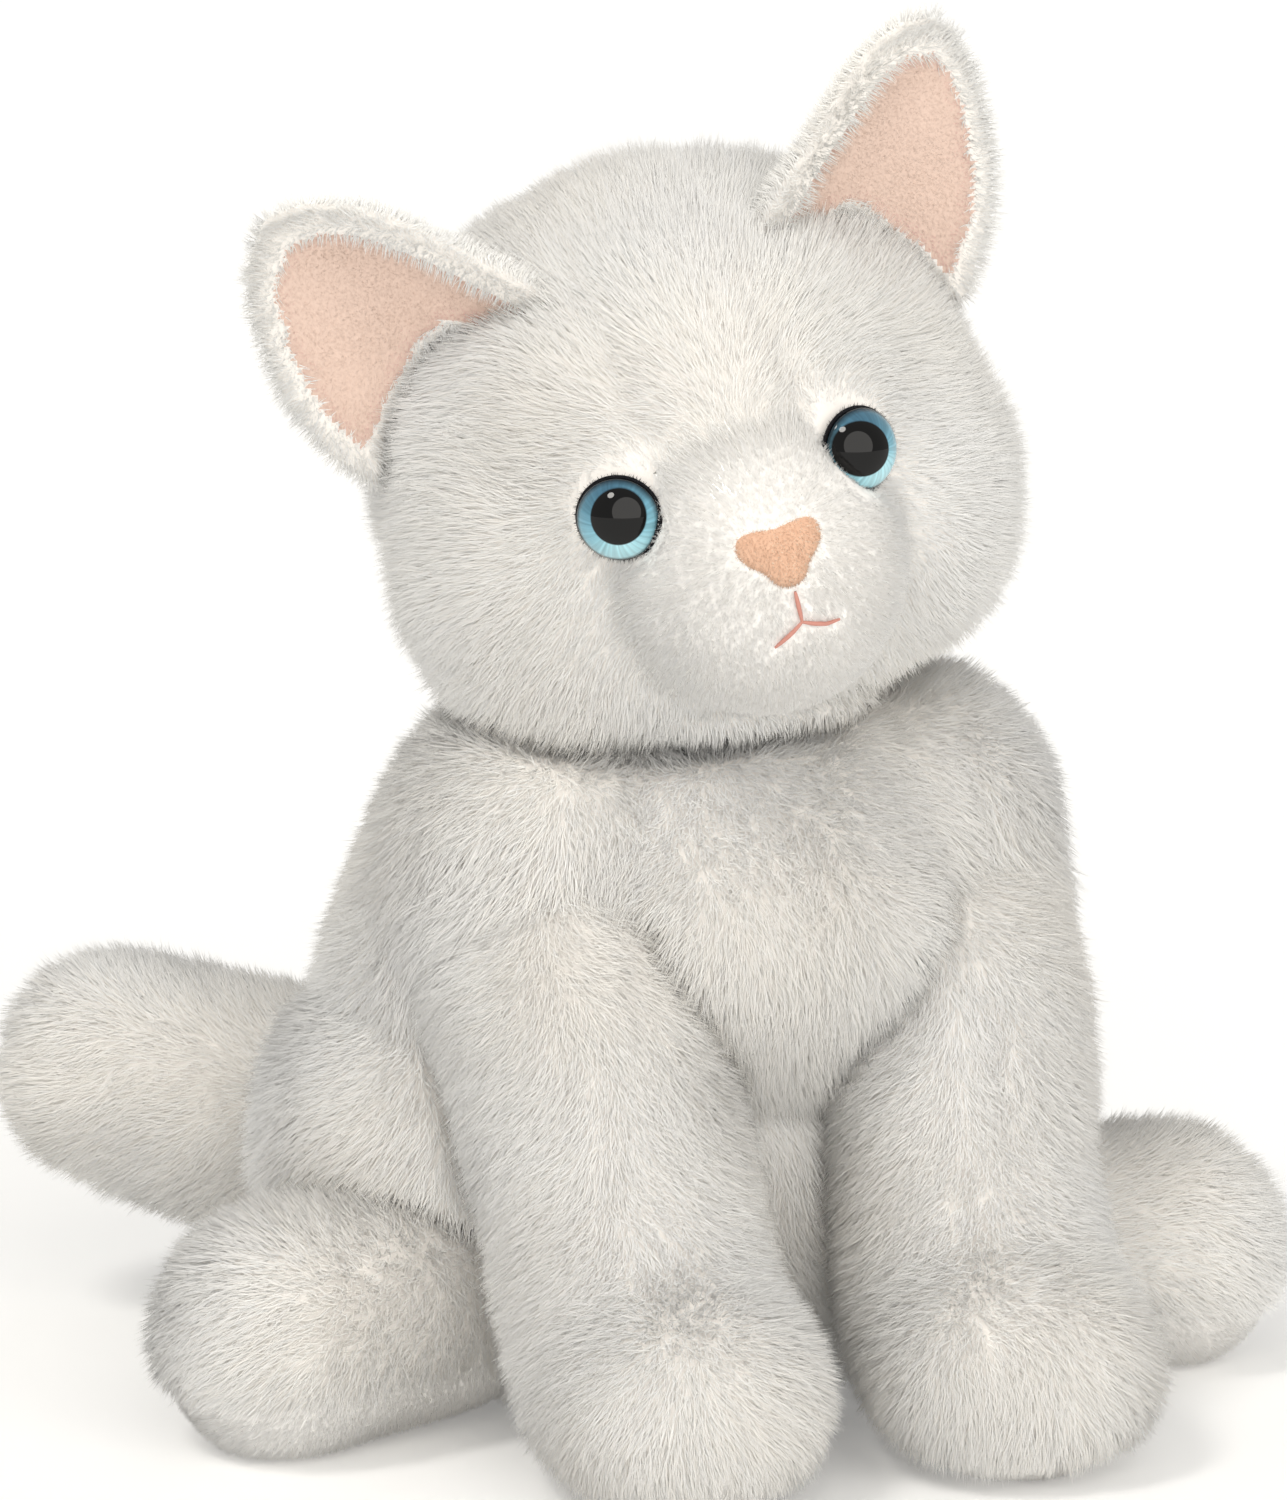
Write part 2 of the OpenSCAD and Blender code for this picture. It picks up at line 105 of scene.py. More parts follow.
EYES = {side: np.array(eye_frame(side)) for side in (1, -1)}
NOSE_POINT = np.array(HEAD @ Vector((MUZZLE_AT.x, MUZZLE_AT.y - MUZZLE_R, NOSE_Z)))


# ---------- materials ----------

def principled(name, colour, roughness=0.9, **constants):
    """A node material whose even values are set on the shader's own sockets."""
    mat = bpy.data.materials.new(name)
    mat.use_nodes = True
    shader = mat.node_tree.nodes["Principled BSDF"]
    shader.inputs["Base Color"].default_value = (*colour, 1)
    shader.inputs["Roughness"].default_value = roughness
    for key, value in constants.items():
        shader.inputs[key.replace("_", " ")].default_value = value
    return mat


def add_node(mat, kind, *sources, operation=None, **values):
    """Adds a node to mat. Its first inputs take the sources, which are sockets or tuples of numbers,
    and its named inputs the values."""
    node = mat.node_tree.nodes.new("ShaderNode" + kind)
    if operation:
        node.operation = operation
    for key, value in values.items():
        node.inputs[key.replace("_", " ")].default_value = value
    for number, source in enumerate(sources):
        if isinstance(source, tuple):
            node.inputs[number].default_value = source
        else:
            mat.node_tree.links.new(source, node.inputs[number])
    return node


def feed(mat, socket, name):
    """Drives one input of mat's own shader."""
    mat.node_tree.links.new(socket, mat.node_tree.nodes["Principled BSDF"].inputs[name])


def mottle(mat, scale, low, high):
    """Colours mat by noise between two tints. Returns the noise's socket."""
    where = add_node(mat, "TexCoord").outputs["Object"]
    noise = add_node(mat, "TexNoise", where, Scale=scale, Detail=3).outputs["Fac"]
    ramp = add_node(mat, "ValToRGB", noise)
    for element, position, tint in zip(ramp.color_ramp.elements, (0.3, 0.7), (low, high)):
        element.position = position
        element.color = (*tint, 1)
    feed(mat, ramp.outputs["Color"], "Base Color")
    return noise


def bumped(mat, height, strength, distance):
    """Drives mat's bump by a height socket."""
    bump = add_node(mat, "Bump", Strength=strength, Distance=distance)
    mat.node_tree.links.new(height, bump.inputs["Height"])
    feed(mat, bump.outputs["Normal"], "Normal")


def pile_set(name, backing, tints, roughness=0.85, glint=None):
    """The backing's tint, then a tint for each shade of hair, then the glints if the yarn sparkles."""
    made = [principled(name + "_backing", backing, 0.95, Specular_IOR_Level=0.1)]
    for k, tint in enumerate(tints):
        made.append(principled(f"{name}_{k}", tint, roughness, Specular_IOR_Level=0.25,
                               Sheen_Weight=0.12, Sheen_Roughness=0.4))
    if glint:
        made.append(principled(name + "_glint", glint, 0.22, Specular_IOR_Level=1.0, Metallic=0.35))
    return made


WHITE_TINTS = [(0.985, 0.975, 0.945), (0.985, 0.960, 0.91), (0.975, 0.974, 0.96)]
WHITE = pile_set("white_pile", (0.95, 0.915, 0.87), WHITE_TINTS)
# The short pile's whites are darker than the long pile's: painted shade, for the shade that the long pile
# casts within itself.
SHORT_TINTS_PAINTED_SHADE = [(0.95, 0.938, 0.91), (0.94, 0.915, 0.875), (0.94, 0.938, 0.925)]
SHORT = pile_set("short_pile", (0.94, 0.92, 0.89), SHORT_TINTS_PAINTED_SHADE, glint=(1.0, 0.98, 0.94))
NOSE = pile_set("nose_velour", (0.74, 0.48, 0.34),
                [(0.74, 0.50, 0.36), (0.82, 0.58, 0.43), (0.60, 0.38, 0.26)], 0.6,
                glint=(1.0, 0.90, 0.74))
EAR = pile_set("ear_velour", (0.76, 0.58, 0.49),
               [(0.80, 0.62, 0.53), (0.84, 0.55, 0.50), (0.74, 0.56, 0.46)], 0.9)
FELT = pile_set("eye_felt", (0.012, 0.012, 0.014), [(0.012, 0.012, 0.016), (0.03, 0.03, 0.035)], 0.7)


# ---------- meshes ----------

def make_object(name, points, faces, mats, slots=None, smooth=True):
    """A mesh object from arrays: faces is a list of face arrays, each of one corner count."""
    mesh = bpy.data.meshes.new(name)
    counts = np.concatenate([np.full(len(f), f.shape[1]) for f in faces])
    corners = np.concatenate([f.ravel() for f in faces]).astype(np.int32)
    mesh.vertices.add(len(points))
    mesh.vertices.foreach_set("co", np.ascontiguousarray(points, np.float32).ravel())
    mesh.loops.add(len(corners))
    mesh.loops.foreach_set("vertex_index", corners)
    mesh.polygons.add(len(counts))
    mesh.polygons.foreach_set("loop_start", (np.cumsum(counts) - counts).astype(np.int32))
    mesh.polygons.foreach_set("use_smooth", np.full(len(counts), smooth))
    for mat in mats:
        mesh.materials.append(mat)
    if slots is not None:
        mesh.polygons.foreach_set("material_index", slots.astype(np.int32))
    mesh.update(calc_edges=True)
    mesh.validate()
    obj = bpy.data.objects.new(name, mesh)
    scene.collection.objects.link(obj)
    return obj


def points_of(mesh):
    co = np.empty(len(mesh.vertices) * 3, np.float32)
    mesh.vertices.foreach_get("co", co)
    return co.reshape(-1, 3).astype(float)


def normals_of(mesh):
    n = np.empty(len(mesh.vertices) * 3, np.float32)
    mesh.vertices.foreach_get("normal", n)
    return n.reshape(-1, 3).astype(float)


def triangles_of(mesh):
    mesh.calc_loop_triangles()
    t = np.empty(len(mesh.loop_triangles) * 3, np.int32)
    mesh.loop_triangles.foreach_get("vertices", t)
    return t.reshape(-1, 3)


def edges_of(mesh):
    e = np.empty(len(mesh.edges) * 2, np.int32)
    mesh.edges.foreach_get("vertices", e)
    return e.reshape(-1, 2)


def unit(v):
    return v / np.maximum(np.linalg.norm(v, axis=-1, keepdims=True), 1e-12)


def evaluated(obj):
    """obj's mesh with its modifiers, as a new mesh."""
    graph = bpy.context.evaluated_depsgraph_get()
    return bpy.data.meshes.new_from_object(obj.evaluated_get(graph), depsgraph=graph)


def largest_part(bm):
    """Deletes every loose part of bm but the one with the most vertices."""
    left = set(bm.verts)
    parts = []
    while left:
        stack = [left.pop()]
        part = list(stack)
        while stack:
            for edge in stack.pop().link_edges:
                for v in edge.verts:
                    if v in left:
                        left.remove(v)
                        part.append(v)
                        stack.append(v)
        parts.append(part)
    parts.sort(key=len)
    bmesh.ops.delete(bm, geom=[v for part in parts[:-1] for v in part], context="VERTS")


def relax(points, edges, rounds, amount=0.5):
    """Moves each point towards the mean of its neighbours."""
    ends, others = np.concatenate([edges, edges[:, ::-1]]).T
    count = np.maximum(np.bincount(ends, minlength=len(points)), 1)
    for _ in range(rounds):
        mean = [np.bincount(ends, points[others, k], len(points)) / count for k in range(3)]
        points = points + (np.stack(mean, axis=1) - points) * amount
    return points


# ---------- stuffed forms ----------

FLOOR_GAP = 0.3 * MM
PUFF_FRAMES = 11                 # how long the cloth simulation runs
forms = {}


class Form:
    """A stuffed form's mesh, as arrays. shading holds the normals that its fur is lit by.
    Each vertex also has the number of its panel, its distance from the seams and the room above it."""

    def __init__(self, obj, body, panels):
        self.obj, self.body, self.panels = obj, body, panels
        self.refresh()

    def refresh(self):
        self.points = points_of(self.obj.data)
        self.normals = normals_of(self.obj.data)
        self.triangles = triangles_of(self.obj.data)
        self.shading = self.normals

    def tree(self):
        return BVHTree.FromPolygons([Vector(p) for p in self.points], self.triangles.tolist())


def joined(name, nodes, extra):
    """One object with copies of the CAD nodes' meshes and the extra meshes, overlapping."""
    bm = bmesh.new()
    for node in nodes:
        bm.from_mesh(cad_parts[node].data)
    for mesh in extra:
        bm.from_mesh(mesh)
        bpy.data.meshes.remove(mesh)
    bmesh.ops.remove_doubles(bm, verts=bm.verts, dist=1e-6)
    mesh = bpy.data.meshes.new(name)
    bm.to_mesh(mesh)
    bm.free()
    obj = bpy.data.objects.new(name, mesh)
    scene.collection.objects.link(obj)
    return obj


def nearest_panel(points, panels):
    """For each point, which CAD panel is nearest."""
    distances = []
    for node in panels:
        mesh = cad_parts[node].data
        tree = BVHTree.FromPolygons([v.co for v in mesh.vertices], triangles_of(mesh).tolist())
        distances.append([tree.find_nearest(Vector(p))[3] for p in points])
    return np.argmin(np.array(distances), axis=0)


def distance_to(points, targets, far=1.0):
    """Each point's distance to the nearest target point."""
    if not len(targets):
        return np.full(len(points), far)
    tree = kdtree.KDTree(len(targets))
    for k, p in enumerate(targets):
        tree.insert(p, k)
    tree.balance()
    return np.array([tree.find(p)[2] for p in points])


def puff(obj, pinned, pressure, cap):
    """Blows the form up by cloth simulation, held at its seams, and caps how far a point may go."""
    rest = points_of(obj.data)
    group = obj.vertex_groups.new(name="seams")
    for index in np.nonzero(pinned)[0]:
        group.add([int(index)], 1.0, "REPLACE")
    cloth = obj.modifiers.new("puff", "CLOTH")
    cloth.settings.vertex_group_mass = "seams"
    cloth.settings.use_pressure = True
    cloth.settings.uniform_pressure_force = pressure
    cloth.settings.effector_weights.gravity = 0
    cloth.settings.quality = 3
    cloth.collision_settings.use_collision = False
    cloth.point_cache.frame_start = 1
    cloth.point_cache.frame_end = PUFF_FRAMES
    for number in range(1, PUFF_FRAMES + 1):
        scene.frame_set(number)
    mesh = evaluated(obj)
    moved = points_of(mesh) - rest
    bpy.data.meshes.remove(mesh)
    obj.modifiers.remove(cloth)
    scene.frame_set(1)
    length = np.linalg.norm(moved, axis=1, keepdims=True)
    moved *= np.minimum(1, cap / np.maximum(length, 1e-9))
    obj.data.vertices.foreach_set("co", (rest + moved).astype(np.float32).ravel())
    obj.data.update()


def make_form(name, body, panels, inner=(), extra=(), voxel=2.4 * MM, smooth=6, swell=1.5 * MM,
              seam_depth=0.5 * MM, pressure=4.0):
    """Builds a stuffed form from the CAD nodes it stands for and puffs it out between its seams."""
    obj = joined(name, [*panels, *inner], extra)
    remesh = obj.modifiers.new("even", "REMESH")
    remesh.mode = "VOXEL"
    remesh.voxel_size = voxel
    mesh = evaluated(obj)
    obj.modifiers.remove(remesh)
    obj.data = mesh
    bm = bmesh.new()
    bm.from_mesh(mesh)
    largest_part(bm)
    bm.to_mesh(mesh)
    bm.free()
    edges = edges_of(mesh)
    points = relax(points_of(mesh), edges, smooth)
    points[:, 2] = np.maximum(points[:, 2], FLOOR_GAP)
    mesh.vertices.foreach_set("co", points.astype(np.float32).ravel())
    mesh.update()
    panel = nearest_panel(points, panels)
    across = panel[edges[:, 0]] != panel[edges[:, 1]]
    seam = distance_to(points, points[edges[across]].mean(axis=1))
    puff(obj, seam < voxel, pressure, swell)
    mesh = obj.data
    points = relax(points_of(mesh), edges, 2)
    valley = np.exp(-(seam / (1.6 * voxel)) ** 2)[:, None]
    points -= normals_of(mesh) * valley * seam_depth
    points[:, 2] = np.maximum(points[:, 2], FLOOR_GAP)
    mesh.vertices.foreach_set("co", points.astype(np.float32).ravel())
    mesh.update()
    form = Form(obj, body, panels)
    form.panel, form.seam = panel, seam
    forms[name] = form
    return form


def plug(matrix, at, radii):
    """A small ellipsoid mesh in a local frame, to fill a hollow before remeshing."""
    bm = bmesh.new()
    bmesh.ops.create_icosphere(bm, subdivisions=3, radius=1.0)
    mesh = bpy.data.meshes.new("plug")
    place = matrix @ Matrix.Translation(Vector(at) * MM) @ Matrix.Diagonal([*(Vector(radii) * MM), 1])
    bmesh.ops.transform(bm, matrix=place, verts=bm.verts)
    bm.to_mesh(mesh)
    bm.free()
    return mesh


EYE_PLUG = (0, 0, -6.2), (10.5, 10.5, 5)
SHOULDER, SHOULDER_CAP = (37, -12, 98), (26.6, 29.2, 26.0)      # the torso's fabric over a leg's top
COLLAR = (-6, -7, 138), (36, 33, 9)                            # fabric gathered under the head
SIDES = ("left", 1), ("right", -1)

make_form("head_form", "head",
          ["head_side_left", "head_side_right", "head_gusset", "chin_panel", "muzzle_panel"],
          ["head_stuffing", "muzzle_stuffing"], [plug(eye_frame(s), *EYE_PLUG) for s in (1, -1)],
          voxel=2 * MM, smooth=10)
make_form("torso_form", "torso",
          ["chest_panel", "belly_panel", "back_left_panel", "back_right_panel", "seat_panel",
           "haunch_left_panel", "haunch_right_panel"],
          ["torso_stuffing", "pellet_pouch", "pellets", "haunch_left_stuffing", "haunch_right_stuffing"],
          [plug(Matrix(), (s * SHOULDER[0], *SHOULDER[1:]), SHOULDER_CAP) for s in (1, -1)])
make_form("neck_form", "neck", ["neck_stuffing"], (), [plug(Matrix(), *COLLAR)],
          swell=0.3 * MM, smooth=2)
make_form("tail_form", "tail", ["tail_upper", "tail_lower"], ["tail_stuffing"])
for word, side in SIDES:
    leg = f"front_leg_{word}"
    make_form(leg + "_form", leg, [f"{leg}_{p}" for p in ("outer", "inner", "sole")],
              [leg + "_stuffing"])
    leg = f"hind_leg_{word}"
    make_form(leg + "_form", leg, [f"{leg}_{p}" for p in ("upper", "lower")], [leg + "_stuffing"])
    ear = f"ear_{word}"
    make_form(ear + "_form", ear, [ear + "_back", ear + "_lining"], voxel=1.3 * MM, smooth=4,
              swell=0.5 * MM, seam_depth=0, pressure=1.0)


EAR_SINK = np.array([0, 4, -20])     # in mm, in the ear's frame: how far its inner root goes


def set_ear(form, side):
    """Sinks the ear's inner root into the head's fur, and turns the shading of its rim to the front."""
    place = np.array(ear_frame(side))
    local = (form.points - place[:3, 3]) @ place[:3, :3] / MM
    sunk = np.clip((-7 - local[:, 0]) / 16, 0, 1) * np.clip((25 - local[:, 2]) / 11, 0, 1)
    local += sunk[:, None] * EAR_SINK
    points = local * MM @ place[:3, :3].T + place[:3, 3]
    form.obj.data.vertices.foreach_set("co", points.astype(np.float32).ravel())
    form.obj.data.update()
    form.refresh()
    rim = np.exp(-(form.seam / (7 * MM)) ** 2)[:, None]
    form.shading = unit(form.normals - place[:3, 1] * rim * 1.4)


for word, side in SIDES:
    set_ear(forms[f"ear_{word}_form"], side)


# ---------- pile ----------

def waves(points, size, seed, count=5):
    """Smooth noise from -1 to 1 over the points, with lumps of about the given size."""
    local = np.random.default_rng(seed)
    total = np.zeros(len(points))
    for _ in range(count):
        direction = unit(local.normal(size=3)) * math.tau / (size * local.uniform(1.6, 3.2))
        total += np.sin(points @ direction + local.uniform(0, math.tau))
    return total / count * 1.4


def along_surface(direction, normals):
    """The part of a direction that lies in the surface."""
    flat = direction - normals * np.sum(direction * normals, axis=1, keepdims=True)
    return unit(flat + 1e-9)


def swirl(direction, normals, angle):
    """Turns directions about the surface normal."""
    c, s = np.cos(angle)[:, None], np.sin(angle)[:, None]
    return direction * c + np.cross(normals, direction) * s


def away_from_eyes(points, flow, radius):
    """Combs the hair round each eye outwards from it."""
    for matrix in EYES.values():
        offset = points - matrix[:3, 3]
        sideways = offset - np.outer(offset @ matrix[:3, 2], matrix[:3, 2])
        distance = np.linalg.norm(sideways, axis=1, keepdims=True)
        share = np.exp(-(distance / radius) ** 4)
        flow = flow * (1 - share) + unit(sideways) * share
    return flow


EYE_BARE = 8.6 * MM              # no hair grows so near an eye's axis


def eye_distance(points):
    """The distance from the nearer eye's axis, on the face's side."""
    best = np.full(len(points), 1.0)
    for matrix in EYES.values():
        offset = points - matrix[:3, 3]
        depth = offset @ matrix[:3, 2]
        radial = np.linalg.norm(offset - np.outer(depth, matrix[:3, 2]), axis=1)
        best = np.where(depth > -25 * MM, np.minimum(best, radial), best)
    return best


def head_flow(points):
    flow = unit(points - NOSE_POINT) + DOWN * 0.35
    return away_from_eyes(points, flow, 15 * MM)


def muzzle_flow(points):
    return away_from_eyes(points, unit(points - NOSE_POINT) + DOWN * 0.25, 11 * MM)


def torso_flow(points):
    outwards = points * np.array([1, 1, 0])
    return DOWN + unit(outwards) * 0.25


def front_leg_flow(points):
    """Down the leg, and a little forward over the paw."""
    paw = np.clip((35 * MM - points[:, 2:]) / (25 * MM), 0, 1)
    return DOWN + np.array([0, -0.4, 0]) * paw


def hind_leg_flow(points):
    """Outwards along the foot, and down."""
    outwards = np.sign(points[:, :1]) * np.array([[1.0, 0, 0]])
    return outwards + DOWN * 0.5 + np.array([0, -0.2, 0])


TAIL_FLOW = np.array([-0.86, 0.42, 0.12])


def tail_flow(points):
    return np.tile(TAIL_FLOW, (len(points), 1)) + DOWN * 0.25


def ear_flow(side):
    """From low in the ear's middle outwards, in the plane of the ear."""
    place = np.array(ear_frame(side))

    def flow(points):
        local = (points - place[:3, 3]) @ place[:3, :3]
        return unit(local * np.array([1, 0, 1]) - np.array([0, 0, 8]) * MM) @ place[:3, :3].T
    return flow


def clearance(form, reach):
    """How far each vertex can see along its normal before another form, up to reach.
    It is below 0 inside another form. The neck is left out: its collar lies against the head."""
    room = np.full(len(form.points), reach)
    low, high = form.points.min(axis=0) - reach, form.points.max(axis=0) + reach
    for other in forms.values():
        if other is form or other.body == "neck":
            continue
        if (other.points.min(axis=0) > high).any() or (other.points.max(axis=0) < low).any():
            continue
        tree = other.tree()
        close = np.all((form.points > other.points.min(axis=0) - reach)
                       & (form.points < other.points.max(axis=0) + reach), axis=1)
        for k in np.nonzero(close)[0]:
            p, n = Vector(form.points[k]), Vector(form.normals[k])
            near, normal, _, distance = tree.find_nearest(p, 2 * reach)
            if near is not None and (p - near).dot(normal) < 0:
                room[k] = min(room[k], -distance)
                continue
            ahead = tree.ray_cast(p, n, reach)[3]
            if ahead is not None:
                room[k] = min(room[k], ahead)
    return room


def reach_over(form, others):
    """Hair beside another body is longer and flatter, so that it covers the gap."""
    nearby = np.concatenate([forms[name].points[::2] for name in others])
    share = np.exp(-(distance_to(form.points, nearby) / (6 * MM)) ** 2)

    def change(points, length, lean):
        return length * (1 + 0.4 * share), lean + 0.15 * share
    return change


HAIR_ROUNDNESS = 0.35            # how far a hair's own roundness shows in the shading of the coat
ROOT_DEPTH = 0.3 * MM            # how far a hair's root is under the fabric


def strands(form, faces, length, flow, lean, per_mm2, width, shades, clump, seed):
    """Grows one cone of three sides for each hair on the given triangles.
    length, flow and lean are per vertex. Returns the hairs' points and triangles, the shade of each
    triangle and the normal of each point."""
    local = np.random.default_rng(seed)
    tri = form.triangles[faces]
    a, b, c = (form.points[tri[:, k]] for k in range(3))
    area = np.linalg.norm(np.cross(b - a, c - a), axis=1) / 2 / MM ** 2
    keep = length[tri].mean(axis=1) > 0
    wanted = area * per_mm2 * keep
    count = np.floor(wanted + local.random(len(wanted))).astype(int)
    chosen = np.repeat(np.arange(len(tri)), count)
    total = len(chosen)
    u, v = local.random(total), local.random(total)
    flip = u + v > 1
    u[flip], v[flip] = 1 - u[flip], 1 - v[flip]
    weights = np.stack([1 - u - v, u, v], axis=1)[:, :, None]
    corner = tri[chosen]

    def at(values):
        values = values if values.ndim == 2 else values[:, None]
        return (values[corner] * weights).sum(axis=1)

    root, normal, shading = at(form.points), unit(at(form.normals)), unit(at(form.shading))
    hair = at(length)[:, 0] * local.uniform(0.72, 1.12, total)
    comb = along_surface(at(flow), normal)
    tilt = at(lean)[:, 0] + local.normal(0, 0.22, total)
    comb = swirl(comb, normal, local.normal(0, 0.32, total))
    direction = normal * np.cos(tilt)[:, None] + comb * np.sin(tilt)[:, None]
    tip = root + direction * hair[:, None]
    if clump:
        leaders = local.choice(total, max(1, int(total * clump["share"])), replace=False)
        tree = kdtree.KDTree(len(leaders))
        for k, index in enumerate(leaders):
            tree.insert(root[index], k)
        tree.balance()
        mine = leaders[np.array([tree.find(p)[1] for p in root])]
        pull = (clump["pull"] * local.uniform(0.4, 1.0, total))[:, None]
        tip = tip * (1 - pull) + tip[mine] * pull
        reach = np.linalg.norm(tip - root, axis=1, keepdims=True)
        tip = root + unit(tip - root) * np.minimum(reach, 1.15 * hair[:, None])
    tip[:, 2] = np.maximum(tip[:, 2], FLOOR_GAP)
    axis = unit(tip - root)
    side = unit(np.cross(axis, normal) + 1e-6)
    up = np.cross(axis, side)
    radius = (width / 2 * local.uniform(0.75, 1.2, total))[:, None]
    spin = local.uniform(0, math.tau, total)
    base = root - normal * ROOT_DEPTH
    ring = []
    for k in range(3):
        angle = (spin + k * math.tau / 3)[:, None]
        ring.append(base + (side * np.cos(angle) + up * np.sin(angle)) * radius)
    points = np.stack([*ring, tip], axis=1)
    outwards = points - (base + tip)[:, None] / 2
    outwards -= axis[:, None] * np.sum(outwards * axis[:, None], axis=2, keepdims=True)
    own = unit(outwards) * np.array([1, 1, 1, 0])[:, None] * HAIR_ROUNDNESS
    soft = unit(own + shading[:, None])
    start = np.arange(total)[:, None] * 4
    cone = np.concatenate([start + np.array([[k, (k + 1) % 3, 3]]) for k in range(3)], axis=1)
    shade = np.repeat(shades(root, local), 3)
    return points.reshape(-1, 3), cone.reshape(-1, 3), shade, soft.reshape(-1, 3)


# A shade is a hair's material slot: 0 is the backing, 1 to 3 the tints, 4 the glints.

def white_shades(root, local):
    """Which white each hair has: lumps of warm and cool, with stray hairs between."""
    drift = waves(root, 26 * MM, 5) + local.normal(0, 0.5, len(root))
    return np.where(drift > 0.55, 3, np.where(drift < -0.55, 2, 1))


def sparkling_shades(root, local):
    """The short yarn's whites, with a few glints."""
    return np.where(local.random(len(root)) < 0.05, 4, white_shades(root, local))


LONG = dict(length=6.6 * MM, lean=0.82, per_mm2=3.0, width=0.33 * MM,
            clump=dict(share=0.03, pull=0.3), shades=white_shades, mats=WHITE, slot="white_pile")
FINE = dict(per_mm2=4.0, width=0.28 * MM)            # the long pile where it is seen from the front
SHORT_PILE = dict(length=2.3 * MM, lean=0.7, per_mm2=7.0, width=0.24 * MM,
                  clump=dict(share=0.05, pull=0.3), shades=sparkling_shades, mats=SHORT,
                  slot="short_pile")
VELOUR = dict(length=0.9 * MM, lean=0.85, per_mm2=9.0, width=0.22 * MM, clump=None, mats=EAR,
              slot="ear_velour")
PINK_BAND = 4.2                  # in mm, along the ear's edge


def velour_shades(edge):
    """Beige lining, pinker in a band along the ear's edge."""
    def shades(root, local):
        away = distance_to(root, edge) / MM + local.normal(0, 0.8, len(root))
        drift = waves(root, 9 * MM, 8) + local.normal(0, 0.4, len(root))
        return np.where(away < PINK_BAND, 2, np.where(drift > 0.3, 3, 1))
    return shades


density = 1.0
pile_seed = 100
COVERED, BARE = -2.5 * MM, -1.2 * MM     # so deep in another form, no fabric shows and no hair grows


def grow(form, panel, pile, flow_of, change=None, **differences):
    """Makes a panel's piece: its backing, which is the form's own surface there, and the pile on it."""
    global pile_seed
    pile_seed += 1
    pile = {**pile, **differences}
    index = form.panels.index(panel)
    on_panel = form.panel[form.triangles]
    mine = (on_panel == index).sum(axis=1) >= 2
    shown = mine & (form.room[form.triangles].max(axis=1) > COVERED)
    flow = along_surface(flow_of(form.points), form.normals)
    flow = swirl(flow, form.normals, 0.55 * waves(form.points, 14 * MM, pile_seed))
    length = pile["length"] * (1 + 0.12 * waves(form.points, 9 * MM, pile_seed + 50))
    length *= 1 - 0.12 * np.exp(-(form.seam / (2.5 * MM)) ** 2)     # a little shorter at the seams
    length *= np.clip((form.room + 0.5 * MM) / (5 * MM), 0.0, 1.0) * 0.6 + 0.4    # and in tight places
    length = np.where(form.room < BARE, 0, length)
    lean = np.full(len(form.points), pile["lean"]) + 0.12 * waves(form.points, 11 * MM, pile_seed + 90)
    if change:
        length, lean = change(form.points, length, lean)
    hairs = strands(form, np.nonzero(shown)[0], length, flow, lean, pile["per_mm2"] * density,
                    pile["width"] / math.sqrt(density), pile["shades"], pile["clump"], pile_seed)
    used, inverse = np.unique(form.triangles[shown], return_inverse=True)
    backing = form.points[used] + form.normals[used] * 0.15 * MM
    patch = inverse.reshape(-1, 3)
    points = np.concatenate([backing, hairs[0]])
    faces = np.concatenate([patch, hairs[1] + len(backing)])
    slots = np.concatenate([np.zeros(len(patch), int), hairs[2]])
    obj = make_object(panel + "_pile", points, [faces], pile["mats"], slots)
    normals = np.concatenate([form.shading[used], hairs[3]])
    if len(obj.data.vertices) == len(normals):
        obj.data.normals_split_custom_set_from_vertices(normals.astype(np.float32))
    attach(obj, form.body)
    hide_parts(panel)
    return obj


def short_near_eyes(points, length, lean):
    """Hair is short round the eyes, and none grows under them."""
    away = eye_distance(points)
    length = length * (0.6 + 0.4 * np.clip((away - 9 * MM) / (6 * MM), 0, 1))
    return np.where(away < EYE_BARE, 0, length), lean


def short_by_the_face(points, length, lean):
    """The head's pile is shorter near the muzzle too."""
    length, lean = short_near_eyes(points, length, lean)
    muzzle = np.linalg.norm(points - np.array(HEAD @ MUZZLE_AT), axis=1) - MUZZLE_R
    return length * np.clip(0.5 + 0.5 * muzzle / (14 * MM), 0.5, 1), lean


# ---------- shapes laid on the face ----------

class Patch:
    """A small surface for short pile, with the arrays that strands() reads."""

    def __init__(self, points, triangles):
        self.points, self.triangles = points, triangles
        a, b, c = (points[triangles[:, k]] for k in range(3))
        across = np.cross(b - a, c - a)
        total = [sum(np.bincount(triangles[:, k], across[:, axis], len(points)) for k in range(3))
                 for axis in range(3)]
        self.normals = self.shading = unit(np.stack(total, axis=1))


def heights(name, matrix, x, y, high=15 * MM, low=-9 * MM):
    """Where lines coming down a frame's Z axis meet a form, as heights in that frame."""
    tree = forms[name].tree()
    down = matrix.to_3x3() @ Vector((0, 0, -1))
    found = []
    for a, b in zip(x, y):
        hit = tree.ray_cast(matrix @ Vector((a, b, high)), down, high - low)
        found.append(low if hit[3] is None else high - hit[3])
    return np.array(found)


def velvet(name, patch, caps, flow, length, lean, per_mm2, width, shades, mats, seed):
    """An object made of a patch, its short pile and its caps, which are single faces of its points."""
    count = len(patch.points)
    hairs = strands(patch, np.arange(len(patch.triangles)), np.full(count, length), flow,
                    np.full(count, lean), per_mm2 * density, width, shades, None, seed)
    points = np.concatenate([patch.points, hairs[0]])
    faces = np.concatenate([patch.triangles, hairs[1] + count])
    slots = np.concatenate([np.zeros(len(patch.triangles), int), hairs[2], np.zeros(len(caps), int)])
    return make_object(name, points, [faces, *caps], mats, slots)


